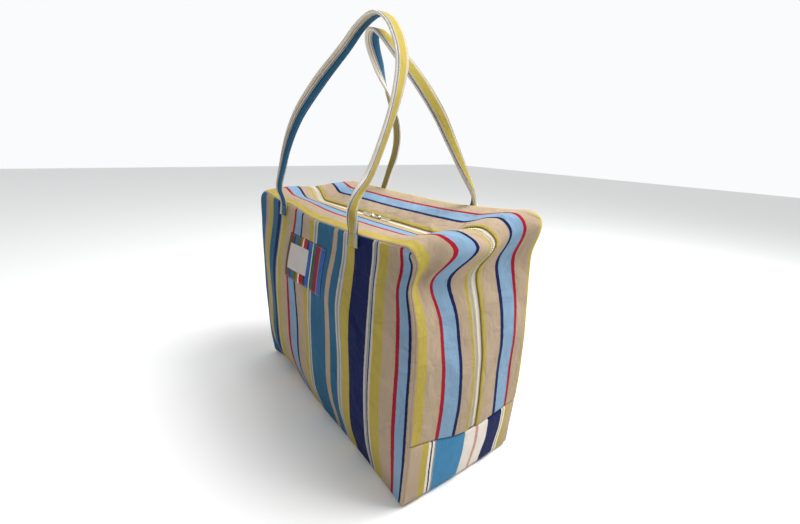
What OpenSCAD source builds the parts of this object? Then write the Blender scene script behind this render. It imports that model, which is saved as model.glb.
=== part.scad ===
// Zip-top striped canvas tote bag with two shoulder handles.
// The bag stands on z = 0. X runs along its width, the front panel faces -Y,
// and the origin is the middle of the base.

/* [Bag body] */
// Width of the bag, end panel to end panel
body_w = 500; // [400:5:620]
// Depth of the bag, front panel to back panel
body_d = 220; // [170:2:300]
// Height of the bag without its handles
body_h = 380; // [300:5:470]
// Thickness of one cloth panel with its turned edges
cloth_t = 2; // [1.2:0.1:3]
// Radius of the two top corners, seen from the front
top_r = 22; // [12:1:40]
// Radius of the two bottom corners, seen from the front
bottom_r = 10; // [5:1:20]
// Height of the base panel's turned-up ends
base_turn = 90; // [50:1:120]
// How far the top sinks from the front and back edges to the zip
top_dip = 32; // [0:1:40]

/* [Zip] */
// Gap between the two folded cloth edges, where the zip shows
zip_gap = 15; // [11:0.5:20]
// Width of one zip tape
tape_w = 14; // [11:0.5:20]
// Thickness of the zip tape
tape_t = 0.8; // [0.5:0.1:1.2]
// Width of one row of moulded teeth
teeth_w = 2.4; // [1.6:0.1:4]
// Thickness of the teeth, half above the tape and half below
teeth_t = 2.6; // [2:0.1:4]
// Gap between the two rows of teeth
teeth_gap = 0.2; // [0.1:0.05:0.5]
// Length of one slider
slider_l = 13; // [9:0.5:18]
// Thickness of the slider's top plate and side flanges
slider_t = 1.2; // [0.8:0.1:2]
// Where the two sliders meet when the zip is closed
meet_x = 12; // [-60:1:60]
// Length of one zip pull
pull_l = 30; // [20:1:40]
// Width of one zip pull
pull_w = 6; // [4:0.5:9]
// Thickness of one zip pull
pull_t = 1.4; // [1:0.1:2]
// Length of the opening part of the top on each side of the middle
flap_x = 150; // [120:1:190]

/* [Handles] */
// Distance between the middles of one handle's two sewn ends
handle_span = 256; // [180:2:340]
// Width of the handle strap
strap_w = 24; // [18:1:36]
// Thickness of the doubled handle strap
strap_t = 5; // [3:0.5:7]
// Height of a handle's sewn end
sewn_h = 18; // [12:1:40]
// Distance from the top edge of the bag down to the top of a sewn end
sewn_drop = 24; // [15:1:45]
// Height of the front handle above the bag's top edge
front_rise = 275; // [200:5:340]
// How much lower the back handle's top lies, so that it nests under the front one
nest_drop = 22; // [16:1:40]

/* [Label] */
// Width of the sewn label
label_w = 134; // [80:1:160]
// Height of the sewn label
label_h = 76; // [50:1:110]
// Thickness of the sewn label
label_t = 0.8; // [0.5:0.1:1.5]
// Where the middle of the label lies along the width
label_x = -21; // [-80:1:20]
// Distance from the top edge of the bag to the top of the label
label_drop = 66; // [55:1:140]

/* [Hidden] */

$fn = 48;
FRONT = -1;
BACK = 1;
LEFT = -1;
RIGHT = 1;
far = 2000;

// Clearance round a piece that moves against a fixed one
move_gap = 0.4;
// The inner faces of the front and back panels
panel_in = body_d / 2 - cloth_t;
// The folded cloth edges beside the zip
fold_y = zip_gap / 2;
// Depth of the tape below the outer surface of the cloth
tape_top = cloth_t;
// Outer surface of the teeth, measured down from the outer surface of the cloth
teeth_top = tape_top + tape_t / 2 - teeth_t / 2;
// The teeth's and tape's inner edges
teeth_y = teeth_gap / 2;
tape_y = teeth_y + 0.6;
// Seam binding tape: width and thickness
bind_w = 9;
bind_t = 2;
// Slider: half width outside the teeth, and the gap over them
slide_gap = 0.4;
slider_y = teeth_y + teeth_w + slide_gap + slider_t;
// The two sides of the top rise away from the zip, by this much at the slider's sides
valley_rise = top_dip * slider_y / panel_in;
// The slider's plate, measured up from the outer surface of the cloth at the zip
slider_base = slide_gap + valley_rise - teeth_top;
slider_top = slider_base + slider_t;
zip_z = body_h - top_dip;
// Bridge that holds the pull: width, inner length, inner height and bar thickness
bridge_w = 3;
bridge_l = 3.2;
bridge_open = 2.2;
bridge_t = 0.8;
// The pull's cross pin, and how far its two arms reach before the tongue begins
pin_r = 0.7;
arm_l = 5;
// The two sliders' middles when they meet, and the pull's pivot on its slider
slider_pitch = slider_l + 3;
pivot_out = 2;
// Handles: the strap leaves its sewn end just clear of the panel
strap_y = body_d / 2 + strap_t / 2 + move_gap;
sewn_top = body_h - sewn_drop;
hinge_gap = 0.5;
arch_h = front_rise + sewn_drop - hinge_gap;

module canvas_beige() { color([0.80, 0.72, 0.62]) children(); }
module canvas_yellow() { color([0.71, 0.67, 0.27]) children(); }
module canvas_blue() { color([0.29, 0.50, 0.66]) children(); }
module zip_cream() { color([0.91, 0.89, 0.82]) children(); }
module zip_metal() { color([0.80, 0.80, 0.78]) children(); }

// ---- outlines -------------------------------------------------------------

// The bag seen from the front, drawn inset by a distance, with its base on y = inset
module bag_outline(inset) {
    w = body_w / 2 - inset;
    rt = top_r - min(inset, top_r - 1);
    rb = bottom_r - min(inset, bottom_r - 1);
    top = body_h - inset;
    translate([-w + rb, inset]) square([2 * (w - rb), top - inset - rt]);
    translate([-w, inset + rb]) square([2 * w, top - inset - rb - rt]);
    translate([-w + rt, top - 2 * rt]) square([2 * (w - rt), 2 * rt]);
    for (side = [LEFT, RIGHT]) {
        translate([side * (w - rt), top - rt]) circle(rt);
        translate([side * (w - rb), inset + rb]) circle(rb);
    }
}

// A plate of the bag's front view, standing between two depths
module bag_plate(inset, y0, y1) {
    translate([0, y1, 0]) rotate([90, 0, 0])
        linear_extrude(y1 - y0) bag_outline(inset);
}

// A band that runs all round the bag, between two depths below the outer surface
module band(depth0, depth1, y0, y1) {
    difference() {
        bag_plate(depth0, y0, y1);
        bag_plate(depth1, y0 - 1, y1 + 1);
    }
}

// Leans one half of the top, so that it sinks from the bag's edge to the zip
module dipped(half) {
    multmatrix([
        [1, 0, 0, 0],
        [0, 1, 0, 0],
        [0, half * top_dip / panel_in, 1, -top_dip],
        [0, 0, 0, 1]
    ]) children();
}

// The space at one end of the bag that the end pieces of the gusset fill
module end_zone(side) {
    x0 = flap_x + move_gap;
    translate([side > 0 ? x0 : -far, -far / 2, base_turn])
        cube([far - x0, far, far]);
}

// A strip of the top, end or zip band on one side of the bag's middle
function low_y(half, near, away) = half < 0 ? -away : near;
function high_y(half, near, away) = half < 0 ? -near : away;

module end_strip(half, side, depth0, depth1, near, away) {
    intersection() {
        dipped(half) band(depth0, depth1, low_y(half, near, away), high_y(half, near, away));
        end_zone(side);
    }
}

module top_strip(half, depth0, depth1, near, away) {
    y0 = low_y(half, near, away);
    dipped(half) translate([-flap_x, y0, body_h - depth1])
        cube([2 * flap_x, away - near, depth1 - depth0]);
}

// ---- cloth body -----------------------------------------------------------

module panel(half) {
    canvas_beige()
        bag_plate(0, half < 0 ? -body_d / 2 : panel_in, half < 0 ? -panel_in : body_d / 2);
}

module base_panel() {
    canvas_blue() intersection() {
        band(0, cloth_t, -panel_in, panel_in);
        translate([-far / 2, -far / 2, -1]) cube([far, far, base_turn + 1]);
    }
}

module gusset(half, side) {
    canvas_yellow() end_strip(half, side, 0, cloth_t, fold_y, panel_in);
}

module top_flap(half) {
    canvas_yellow() top_strip(half, 0, cloth_t, fold_y, panel_in - move_gap);
}

// Tape that binds the raw seam inside, down both ends and across the base
module seam_binding(half) {
    canvas_beige() intersection() {
        band(cloth_t, cloth_t + bind_w,
            low_y(half, panel_in - bind_t, panel_in),
            high_y(half, panel_in - bind_t, panel_in));
        translate([-far / 2, -far / 2, 0]) cube([far, far, body_h - top_r]);
    }
}

// ---- zip ------------------------------------------------------------------

module end_tape(half, side) {
    zip_cream() end_strip(half, side, tape_top, tape_top + tape_t, tape_y, tape_y + tape_w);
}

module top_tape(half) {
    zip_cream() top_strip(half, tape_top, tape_top + tape_t, tape_y, tape_y + tape_w);
}

// A row of teeth grips the tape's bead, so it is cut where the tape passes through it
module end_teeth(half, side) {
    zip_cream() difference() {
        end_strip(half, side, teeth_top, teeth_top + teeth_t, teeth_y, teeth_y + teeth_w);
        end_strip(half, side, tape_top, tape_top + tape_t, tape_y, tape_y + tape_w);
    }
}

module top_teeth(half) {
    zip_cream() difference() {
        top_strip(half, teeth_top, teeth_top + teeth_t, teeth_y, teeth_y + teeth_w);
        translate([-1, 0, 0]) top_strip(half, tape_top, tape_top + tape_t, tape_y, tape_y + tape_w);
        translate([1, 0, 0]) top_strip(half, tape_top, tape_top + tape_t, tape_y, tape_y + tape_w);
    }
}

function slider_x(side) = meet_x + side * slider_pitch / 2;
// The pull's pivot, over the slider's outer half
function pivot_x(side) = slider_x(side) + side * pivot_out;
pivot_z = zip_z + slider_top + bridge_open / 2;

// Slider: top plate, two side flanges beside the teeth, and a bridge for the pull
module slider(side) {
    flange_bottom = tape_top - slide_gap - valley_rise;
    outer_l = bridge_l + 2 * bridge_t;
    zip_metal() union() {
        translate([slider_x(side) - slider_l / 2, -slider_y, zip_z + slider_base])
            cube([slider_l, 2 * slider_y, slider_t]);
        for (y0 = [-slider_y, slider_y - slider_t])
            translate([slider_x(side) - slider_l / 2, y0, zip_z - flange_bottom])
                cube([slider_l, slider_t, flange_bottom + slider_base + slider_t / 2]);
        difference() {
            translate([pivot_x(side) - outer_l / 2, -bridge_w / 2, zip_z + slider_base])
                cube([outer_l, bridge_w, slider_t + bridge_open + bridge_t]);
            translate([pivot_x(side) - bridge_l / 2, -bridge_w, zip_z + slider_top])
                cube([bridge_l, 2 * bridge_w, bridge_open]);
        }
    }
}

// Pull: a cross pin through the slider's bridge, two arms and a flat tongue along the zip
module pull(side) {
    half_w = pull_w / 2;
    eye_x = pull_l - half_w;
    zip_metal() translate([pivot_x(side), 0, pivot_z]) mirror([side < 0 ? 1 : 0, 0, 0]) union() {
        rotate([90, 0, 0]) cylinder(r = pin_r, h = pull_w, center = true);
        for (y0 = [-half_w, half_w - pull_t / 2])
            translate([0, y0, -pin_r]) cube([arm_l + 1, pull_t / 2, 2 * pin_r]);
        difference() {
            union() {
                translate([arm_l, -half_w, -pull_t / 2]) cube([eye_x - arm_l, pull_w, pull_t]);
                translate([eye_x, 0, -pull_t / 2]) cylinder(r = half_w, h = pull_t);
            }
            translate([eye_x, 0, -pull_t]) cylinder(r = half_w / 2, h = 2 * pull_t);
        }
    }
}

// ---- handles --------------------------------------------------------------

// Route of a handle strap: shares of the half span, shares of the depth and shares
// of the arch height. One leg stands upright before it leans in, the other leans
// straight away. The two ends keep clear of the bag's top edge.
ROUTE = [
    [-1.00, 1.000, 0.00], [-1.01, 1.000, 0.05], [-1.02, 1.003, 0.10],
    [-1.05, 0.910, 0.22], [-1.05, 0.840, 0.32], [-1.01, 0.740, 0.44],
    [-0.96, 0.590, 0.56], [-0.83, 0.330, 0.72], [-0.54, 0.110, 0.87],
    [-0.29, 0.030, 0.96], [0.02, 0.000, 1.00], [0.28, 0.010, 0.965],
    [0.54, 0.070, 0.88], [0.80, 0.190, 0.75], [0.92, 0.340, 0.60],
    [0.94, 0.510, 0.43], [0.95, 0.720, 0.26], [0.98, 0.925, 0.16],
    [1.00, 1.003, 0.10], [1.00, 1.000, 0.05], [1.00, 1.000, 0.00]
];
// The back handle comes to a narrower point
POINTED = [
    [-1.00, 1.000, 0.00], [-1.00, 1.000, 0.05], [-0.99, 1.003, 0.10],
    [-0.90, 0.900, 0.22], [-0.82, 0.870, 0.33], [-0.74, 0.850, 0.44],
    [-0.66, 0.780, 0.56], [-0.55, 0.600, 0.70], [-0.38, 0.350, 0.85],
    [-0.20, 0.120, 0.96], [0.00, 0.000, 1.00], [0.16, 0.030, 0.97],
    [0.38, 0.140, 0.86], [0.62, 0.280, 0.72], [0.82, 0.420, 0.57],
    [0.94, 0.560, 0.42], [1.02, 0.700, 0.29], [1.02, 0.920, 0.17],
    [1.01, 1.003, 0.10], [1.00, 1.000, 0.05], [1.00, 1.000, 0.00]
];
// Rings swept between two route points
STEPS = 3;
// Share of the arch height over which the strap turns from flat to edge-on
turn_from = 0.11;
turn_to = 0.34;

function route_point(route, half, height, i) =
    let (p = route[max(0, min(len(route) - 1, i))])
    [p[0] * handle_span / 2, half * p[1] * strap_y, sewn_top + hinge_gap + p[2] * height];

// A smooth curve through four points
function spline(a, b, c, d, t) =
    0.5 * ((2 * b) + (c - a) * t + (2 * a - 5 * b + 4 * c - d) * t * t
        + (3 * b - a - 3 * c + d) * t * t * t);

function route_at(route, half, height, s) =
    let (i = min(floor(s), len(route) - 2), t = s - i)
    spline(route_point(route, half, height, i - 1), route_point(route, half, height, i),
        route_point(route, half, height, i + 1), route_point(route, half, height, i + 2), t);

function unit(v) = v / norm(v);
function ease(t) = let (u = max(0, min(1, t))) u * u * (3 - 2 * u);

// One ring of the strap: four corners round a point of the route
function strap_ring(route, half, height, s) =
    let (
        n = len(route) - 1,
        p = route_at(route, half, height, s),
        ahead = route_at(route, half, height, min(n, s + 0.02)),
        behind = route_at(route, half, height, max(0, s - 0.02)),
        t = s <= 0 || s >= n ? [0, 0, s <= 0 ? 1 : -1] : unit(ahead - behind),
        up = (p[2] - sewn_top - hinge_gap) / height,
        turn = 90 * ease((up - turn_from) / (turn_to - turn_from)),
        flat = [cos(turn), sin(turn), 0],
        wide = unit(flat - t * (t * flat)),
        thick = cross(t, wide)
    )
    [for (c = [[-1, -1], [1, -1], [1, 1], [-1, 1]])
        p + wide * c[0] * strap_w / 2 + thick * c[1] * strap_t / 2];

module strap(route, half, height) {
    n = (len(route) - 1) * STEPS;
    rings = [for (k = [0 : n]) strap_ring(route, half, height, k / STEPS)];
    points = [for (ring = rings) for (p = ring) p];
    sides = [for (k = [0 : n - 1]) for (j = [0 : 3]) for (half_quad = [0, 1])
        let (a = 4 * k + j, b = 4 * k + (j + 1) % 4, c = b + 4, d = a + 4)
        half_quad == 0 ? [a, b, c] : [a, c, d]];
    ends = [[3, 2, 1, 0], [4 * n, 4 * n + 1, 4 * n + 2, 4 * n + 3]];
    polyhedron(points = points, faces = concat(sides, ends), convexity = 6);
}

// The flat stretch of strap that is stitched to a panel
module sewn_end(half, side) {
    canvas_yellow()
        translate([side * handle_span / 2 - strap_w / 2,
                half < 0 ? -body_d / 2 - strap_t : body_d / 2, sewn_top - sewn_h])
            cube([strap_w, strap_t, sewn_h]);
}

// ---- nodes ----------------------------------------------------------------

module front_panel() { panel(FRONT); }
module back_panel() { panel(BACK); }
module front_left_gusset() { gusset(FRONT, LEFT); }
module front_right_gusset() { gusset(FRONT, RIGHT); }
module back_left_gusset() { gusset(BACK, LEFT); }
module back_right_gusset() { gusset(BACK, RIGHT); }
module front_top_flap() { top_flap(FRONT); }
module back_top_flap() { top_flap(BACK); }
module front_top_tape() { top_tape(FRONT); }
module back_top_tape() { top_tape(BACK); }
module front_left_tape() { end_tape(FRONT, LEFT); }
module front_right_tape() { end_tape(FRONT, RIGHT); }
module back_left_tape() { end_tape(BACK, LEFT); }
module back_right_tape() { end_tape(BACK, RIGHT); }
module front_top_teeth() { top_teeth(FRONT); }
module back_top_teeth() { top_teeth(BACK); }
module front_left_teeth() { end_teeth(FRONT, LEFT); }
module front_right_teeth() { end_teeth(FRONT, RIGHT); }
module back_left_teeth() { end_teeth(BACK, LEFT); }
module back_right_teeth() { end_teeth(BACK, RIGHT); }
module left_slider() { slider(LEFT); }
module right_slider() { slider(RIGHT); }
module left_pull() { pull(LEFT); }
module right_pull() { pull(RIGHT); }
module front_seam_binding() { seam_binding(FRONT); }
module back_seam_binding() { seam_binding(BACK); }
module front_handle() { canvas_yellow() strap(ROUTE, FRONT, arch_h); }
module front_handle_left_end() { sewn_end(FRONT, LEFT); }
module front_handle_right_end() { sewn_end(FRONT, RIGHT); }
module back_handle() { canvas_yellow() strap(POINTED, BACK, arch_h - nest_drop); }
module back_handle_left_end() { sewn_end(BACK, LEFT); }
module back_handle_right_end() { sewn_end(BACK, RIGHT); }

module label() {
    color([0.75, 0.20, 0.15])
        translate([label_x - label_w / 2, -body_d / 2 - label_t, body_h - label_drop - label_h])
            cube([label_w, label_t, label_h]);
}

front_panel();
back_panel();
base_panel();
front_left_gusset();
front_right_gusset();
back_left_gusset();
back_right_gusset();
front_top_flap();
back_top_flap();
front_top_tape();
back_top_tape();
front_left_tape();
front_right_tape();
back_left_tape();
back_right_tape();
front_top_teeth();
back_top_teeth();
front_left_teeth();
front_right_teeth();
back_left_teeth();
back_right_teeth();
left_slider();
right_slider();
left_pull();
right_pull();
front_seam_binding();
back_seam_binding();
front_handle();
front_handle_left_end();
front_handle_right_end();
back_handle();
back_handle_left_end();
back_handle_right_end();
label();
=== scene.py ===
# %% [markdown]
# # A zip-top striped canvas tote bag
# The bag is sewn from a front panel, a back panel, a base and a gusset that a long zip cuts in two.
# This lesson builds each of those pieces flat, as on the cutting table, wraps it round the box that
# the bag would be if it were stiff, and then lets every piece sag in the same way, so the seams
# stay shut.

import math

import bmesh
import bpy
import numpy as np
from mathutils import Matrix, Vector


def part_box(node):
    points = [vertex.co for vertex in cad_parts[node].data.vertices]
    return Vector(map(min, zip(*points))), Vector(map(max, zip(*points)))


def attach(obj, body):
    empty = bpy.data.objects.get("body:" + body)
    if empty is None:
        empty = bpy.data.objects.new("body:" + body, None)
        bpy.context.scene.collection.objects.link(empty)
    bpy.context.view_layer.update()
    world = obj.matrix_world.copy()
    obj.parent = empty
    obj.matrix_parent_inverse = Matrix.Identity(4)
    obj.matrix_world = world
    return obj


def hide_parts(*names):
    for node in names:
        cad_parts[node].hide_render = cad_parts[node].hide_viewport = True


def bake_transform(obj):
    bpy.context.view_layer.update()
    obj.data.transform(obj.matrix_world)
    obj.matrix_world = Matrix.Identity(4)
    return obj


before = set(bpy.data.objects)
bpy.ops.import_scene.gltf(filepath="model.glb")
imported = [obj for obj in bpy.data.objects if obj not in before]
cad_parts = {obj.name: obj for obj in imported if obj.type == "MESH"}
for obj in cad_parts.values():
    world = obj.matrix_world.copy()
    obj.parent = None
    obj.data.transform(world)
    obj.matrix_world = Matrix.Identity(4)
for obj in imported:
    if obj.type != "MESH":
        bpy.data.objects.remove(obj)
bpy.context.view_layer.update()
scene = bpy.context.scene
MM = 0.001

# %% [markdown]
# ## The camera
# The bag is seen from close by, from its front right corner and a little above, so its near corner
# looks large. A camera's direction is easiest to give as three axes: back towards the viewer,
# right, and up, which a small roll then turns. There is no cord on this object, so the camera is
# all that has to come first.

# %% Camera
azimuth, elevation, roll_angle = 0.92039, 0.29743, 0.03515
camera_spot = (0.57109, -0.36971, 0.47485)
back_axis = Vector(
    (
        math.sin(azimuth) * math.cos(elevation),
        -math.cos(azimuth) * math.cos(elevation),
        math.sin(elevation),
    )
)
level = Vector((math.cos(azimuth), math.sin(azimuth), 0))
upright = back_axis.cross(level)
right_axis = math.cos(roll_angle) * level + math.sin(roll_angle) * upright
up_axis = math.cos(roll_angle) * upright - math.sin(roll_angle) * level

camera = bpy.data.objects.new("camera", bpy.data.cameras.new("camera"))
camera.data.sensor_width = 36
camera.data.lens = 17.865
camera.data.clip_start = 0.01
turned = np.eye(4)
turned[:3, 0], turned[:3, 1], turned[:3, 2] = right_axis, up_axis, back_axis
turned[:3, 3] = camera_spot
camera.matrix_world = Matrix(turned)
scene.collection.objects.link(camera)
scene.camera = camera
print("camera lens", camera.data.lens, "mm")

# %% [markdown]
# ## Light and floor
# Cloth shows its weave and its folds in light that is soft but comes from one side. A large lamp
# stands above and behind the bag on the right, so the top is the brightest face, the end comes next
# and the front is in the half shade. The surroundings are like a studio with a white backdrop on
# the far side and a dimmer room on the near side, and the floor is plain and pale.


# %% Lamps, world and floor
def linear(code):
    """An sRGB hex colour as the linear numbers that a shader takes."""
    parts = [int(code[i : i + 2], 16) / 255 for i in (1, 3, 5)]
    return (*(c / 12.92 if c <= 0.04045 else ((c + 0.055) / 1.055) ** 2.4 for c in parts), 1.0)


def feed(tree, node, inputs):
    """Links or sets a node's inputs."""
    for socket, value in dict(inputs).items():
        if isinstance(value, bpy.types.NodeSocket):
            tree.links.new(value, node.inputs[socket])
        else:
            node.inputs[socket].default_value = value


def add(tree, kind, inputs=(), **settings):
    """Adds one node with its settings, and links or sets its inputs."""
    made = tree.nodes.new(kind)
    for name, value in settings.items():
        setattr(made, name, value)
    feed(tree, made, inputs)
    return made


def maths(tree, operation, *values):
    """The result of one sum on sockets or plain numbers."""
    return add(tree, "ShaderNodeMath", enumerate(values), operation=operation).outputs[0]


def noise(tree, place, scale, detail, **more):
    """Smooth noise from 0 to 1 at a place."""
    inputs = {"Vector": place, "Scale": scale, "Detail": detail, **more}
    return add(tree, "ShaderNodeTexNoise", inputs).outputs["Fac"]


def mixed(tree, share, first, second):
    """A blend of two colours, each a socket or a plain colour."""
    inputs = {"Factor": share, "A": first, "B": second}
    return add(tree, "ShaderNodeMix", inputs, data_type="RGBA").outputs["Result"]


def relief(tree, height, strength, distance, **more):
    """The normals of a surface that rises and falls with a height."""
    inputs = {"Height": height, "Strength": strength, "Distance": distance, **more}
    return add(tree, "ShaderNodeBump", inputs).outputs["Normal"]


def new_material(name):
    """A new material with its node tree and its shader."""
    made = bpy.data.materials.new(name)
    made.use_nodes = True
    return made, made.node_tree, made.node_tree.nodes["Principled BSDF"]


for name, spot, size, power in (
    ("key_lamp", (0.62, 0.7, 1.7), 1.1, 48),
    ("front_lamp", (-0.5, -1.9, 1.2), 1.8, 2.5),
):
    lamp = bpy.data.lights.new(name, "AREA")
    lamp.size, lamp.energy = size, power
    holder = bpy.data.objects.new(name, lamp)
    holder.location = spot
    holder.rotation_mode = "QUATERNION"
    towards = Vector((0, 0, 0.2)) - Vector(spot)
    holder.rotation_quaternion = towards.to_track_quat("-Z", "Y")
    scene.collection.objects.link(holder)

world = bpy.data.worlds.new("studio")
world.use_nodes = True
backdrop = world.node_tree.nodes["Background"]
backdrop.inputs["Color"].default_value = linear("#FAFBFC")
facing = add(world.node_tree, "ShaderNodeTexCoord")
far_side = add(
    world.node_tree,
    "ShaderNodeVectorMath",
    {0: facing.outputs["Generated"], 1: (-0.71, 0.54, 0.45)},
    operation="DOT_PRODUCT",
)
glow = add(
    world.node_tree,
    "ShaderNodeMapRange",
    {
        "Value": far_side.outputs["Value"],
        "From Min": -0.35,
        "From Max": 0.45,
        "To Min": 0.14,
        "To Max": 1.0,
    },
    interpolation_type="SMOOTHSTEP",
)
world.node_tree.links.new(glow.outputs["Result"], backdrop.inputs["Strength"])
scene.world = world
scene.view_settings.view_transform = "Standard"

floor_paint, tree, paint = new_material("matt_white_paint")
speckle = add(tree, "ShaderNodeTexNoise", {"Scale": 3.0, "Detail": 4.0}).outputs["Fac"]
tint = mixed(tree, speckle, linear("#F3F3F2"), linear("#F8F8F8"))
feed(tree, paint, {"Base Color": tint, "Roughness": 0.9})
bm = bmesh.new()
bmesh.ops.create_grid(bm, x_segments=1, y_segments=1, size=6)
mesh = bpy.data.meshes.new("floor")
bm.to_mesh(mesh)
bm.free()
mesh.materials.append(floor_paint)
floor = bpy.data.objects.new("floor", mesh)
scene.collection.objects.link(floor)
print("lamps and floor are in")

# %% [markdown]
# ## The stiff bag's measurements
# Everything below starts from the stiff box in the frame. The outline of the gusset is a path up
# one end, along the top and down the other end. The outline of the base is the rest of the way
# round. A path is kept as a fine table, so that any flat piece can be laid along it by looking up
# its distance.

# %% Sizes and paths
panel_low, panel_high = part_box("front_panel")
half_w, height = panel_high.x, panel_high.z
half_d = -panel_low.y
fold_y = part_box("back_top_flap")[0].y
turn_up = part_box("base_panel")[1].z
TEETH_RISE = 3.7 * MM
zip_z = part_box("front_top_teeth")[0].z + TEETH_RISE
TOP_R, BOTTOM_R = 22 * MM, 10 * MM
CLOTH_THICK = 1.2 * MM
HALVES, ENDS = ((-1, "front"), (1, "back")), ((-1, "left"), (1, "right"))


def rounded_path(points, radius, outward):
    """A table of a path with rounded corners: distance, place and outward direction."""
    corners = [np.array(p, float) for p in points]
    dots = [corners[0]]
    for a, b, c in zip(corners, corners[1:], corners[2:]):
        come = (b - a) / np.linalg.norm(b - a)
        go = (c - b) / np.linalg.norm(c - b)
        centre = b - come * radius + go * radius
        for t in np.linspace(0, math.pi / 2, 25):
            dots.append(centre - go * radius * math.cos(t) + come * radius * math.sin(t))
    dots = np.array([*dots, corners[-1]])
    run = np.append(0, np.cumsum(np.linalg.norm(np.diff(dots, axis=0), axis=1)))
    s = np.linspace(0, run[-1], 2001)
    x, z = np.interp(s, run, dots[:, 0]), np.interp(s, run, dots[:, 1])
    tx, tz = np.gradient(x, s), np.gradient(z, s)
    return {"s": s, "x": x, "z": z, "nx": -tz * outward, "nz": tx * outward, "long": s[-1]}


def wrap(path, s, y, lift):
    """Lays flat points along a path: s along it, y across the bag, lift off the cloth."""
    x, z, nx, nz = (np.interp(s, path["s"], path[k]) for k in ("x", "z", "nx", "nz"))
    return np.column_stack((x + lift * nx, y + 0 * s, z + lift * nz))


gusset_path = rounded_path(
    [(-half_w, turn_up), (-half_w, height), (half_w, height), (half_w, turn_up)],
    TOP_R,
    1,
)
base_path = rounded_path(
    [(-half_w, turn_up), (-half_w, 0), (half_w, 0), (half_w, turn_up)], BOTTOM_R, -1
)
print("gusset", round(gusset_path["long"], 3), "m, base", round(base_path["long"], 3))

# %% [markdown]
# ## How the bag sags
# A filled canvas bag never keeps its box shape. Each piece could be simulated, but then neighbours
# would part at the seams. Here one function says where any point of the stiff bag ends up, and
# every piece goes through it. It is a sum of things that can be named: the front edge and the zip
# sink under the handles' pull, the ends and the front belly out over what the bag holds, a corner
# is pushed in, and slow waves crease the cloth.

# %% The sag
OFFSETS = np.linspace(-1, 1, 9)
WEIGHTS = np.hanning(11)[1:-1] / np.hanning(11).sum()


def eased(place, points, blur=0.025):
    """A soft curve through (place, amount) pairs, both in millimetres."""
    where, amount = np.array(points, float).T * MM
    return sum(w * np.interp(place + blur * o, where, amount) for o, w in zip(OFFSETS, WEIGHTS))


def ramp(value, low, high):
    """0 below low, 1 above high, and smooth in between."""
    t = np.clip((value - low) / (high - low), 0, 1)
    return t * t * (3 - 2 * t)


def bump(distance, width):
    """A smooth hill, 1 in the middle and near 0 at twice the width."""
    return np.exp(-((distance / width) ** 2))


FRONT_EDGE = [(-250, 8), (-200, 12), (-150, 18), (-100, 21), (-50, 26), (0, 28)]
FRONT_EDGE += [(50, 28), (100, 26), (150, 23), (200, 21), (250, 14)]
ZIP_LINE = [(-250, 3), (-238, 4), (-218, 12), (-196, 32), (0, 32), (174, 32)]
ZIP_LINE += [(192, 24), (215, 11), (232, 8), (250, 12)]
BACK_EDGE = [(-250, -3), (-70, 1), (24, 3), (110, 1), (210, -6), (250, -12)]
END_BELLY = [(0, 3), (30, 9), (60, 14), (140, 17), (205, 16), (265, 5), (322, -8)]
END_BELLY += [(352, 7), (380, 0)]
FACE_BELLY = [(0, -9), (20, -3), (60, 8), (100, 12), (200, 13), (250, 12), (300, 5)]
FACE_BELLY += [(340, -2), (380, -5)]
WAVES = np.random.RandomState(11).uniform(-1, 1, (14, 5))


def slow_waves(x, y, z, first, last):
    """A few crossing waves, 60 to 150 mm long, from -1 to 1."""
    total = 0
    for a, b, c, phase, tilt in WAVES[first:last]:
        total = total + np.sin(42 * (a * x + b * y + c * z) + 6 * phase + 9 * tilt * x)
    return total / (last - first)


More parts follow.
